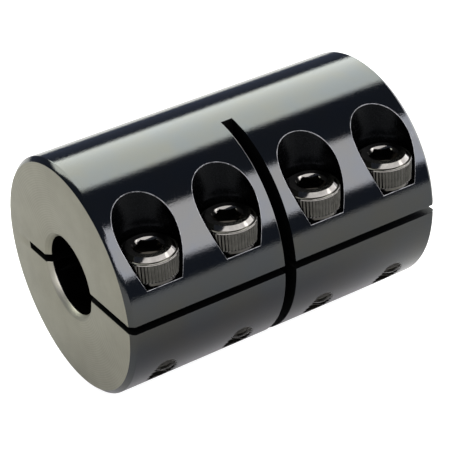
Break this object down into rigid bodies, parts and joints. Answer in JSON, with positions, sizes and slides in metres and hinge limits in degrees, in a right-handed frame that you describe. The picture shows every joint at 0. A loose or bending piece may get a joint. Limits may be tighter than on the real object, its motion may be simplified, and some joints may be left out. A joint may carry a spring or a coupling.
{
  "type": "rigid sleeve coupling",
  "caption": "One-piece clamping rigid shaft coupling: steel sleeve with a through bore, a lengthwise clamping slot, a cross cut and recessed socket head clamp screws.",
  "frame": {"origin": "centre of the coupling: on the bore axis, halfway along its length", "axes": "+X along the shafts; +Z along the clamp screws, towards their heads; the lengthwise slot opens towards -Y"},
  "size_m": [0.035, 0.024, 0.024],
  "materials": {
    "black_oxide_steel": "polished black oxide, end faces satin",
    "screw_steel": "black oxide",
    "nylon_patch": "matte"
  },
  "bodies": {
    "coupling": {"coupling_body": "black_oxide_steel"},
    "patch_1": {"locking_patch_1": "nylon_patch"},
    "screw_1": {"clamp_screw_1": "screw_steel"},
    "patch_2": {"locking_patch_2": "nylon_patch"},
    "screw_2": {"clamp_screw_2": "screw_steel"},
    "patch_3": {"locking_patch_3": "nylon_patch"},
    "screw_3": {"clamp_screw_3": "screw_steel"},
    "patch_4": {"locking_patch_4": "nylon_patch"},
    "screw_4": {"clamp_screw_4": "screw_steel"}
  },
  "joints": [
    {"name": "screw_1_travel", "type": "slide", "parent": "coupling", "child": "patch_1", "axis": [0, 0, 1], "range_m": [0, 0.006]},
    {"name": "screw_1_turn", "type": "hinge", "parent": "patch_1", "child": "screw_1", "pos_m": [-0.01333, -0.0091, 0.00335], "axis": [0, 0, 1], "range_deg": [0, 4320]},
    {"name": "screw_2_travel", "type": "slide", "parent": "coupling", "child": "patch_2", "axis": [0, 0, 1], "range_m": [0, 0.006]},
    {"name": "screw_2_turn", "type": "hinge", "parent": "patch_2", "child": "screw_2", "pos_m": [-0.00475, -0.0091, 0.00335], "axis": [0, 0, 1], "range_deg": [0, 4320]},
    {"name": "screw_3_travel", "type": "slide", "parent": "coupling", "child": "patch_3", "axis": [0, 0, 1], "range_m": [0, 0.006]},
    {"name": "screw_3_turn", "type": "hinge", "parent": "patch_3", "child": "screw_3", "pos_m": [0.00475, -0.0091, 0.00335], "axis": [0, 0, 1], "range_deg": [0, 4320]},
    {"name": "screw_4_travel", "type": "slide", "parent": "coupling", "child": "patch_4", "axis": [0, 0, 1], "range_m": [0, 0.006]},
    {"name": "screw_4_turn", "type": "hinge", "parent": "patch_4", "child": "screw_4", "pos_m": [0.01333, -0.0091, 0.00335], "axis": [0, 0, 1], "range_deg": [0, 4320]}
  ],
  "couplings": [
    {"joint": "screw_1_travel", "follows": "screw_1_turn", "m_per_rad": 0.000079577},
    {"joint": "screw_2_travel", "follows": "screw_2_turn", "m_per_rad": 0.000079577},
    {"joint": "screw_3_travel", "follows": "screw_3_turn", "m_per_rad": 0.000079577},
    {"joint": "screw_4_travel", "follows": "screw_4_turn", "m_per_rad": 0.000079577}
  ]
}
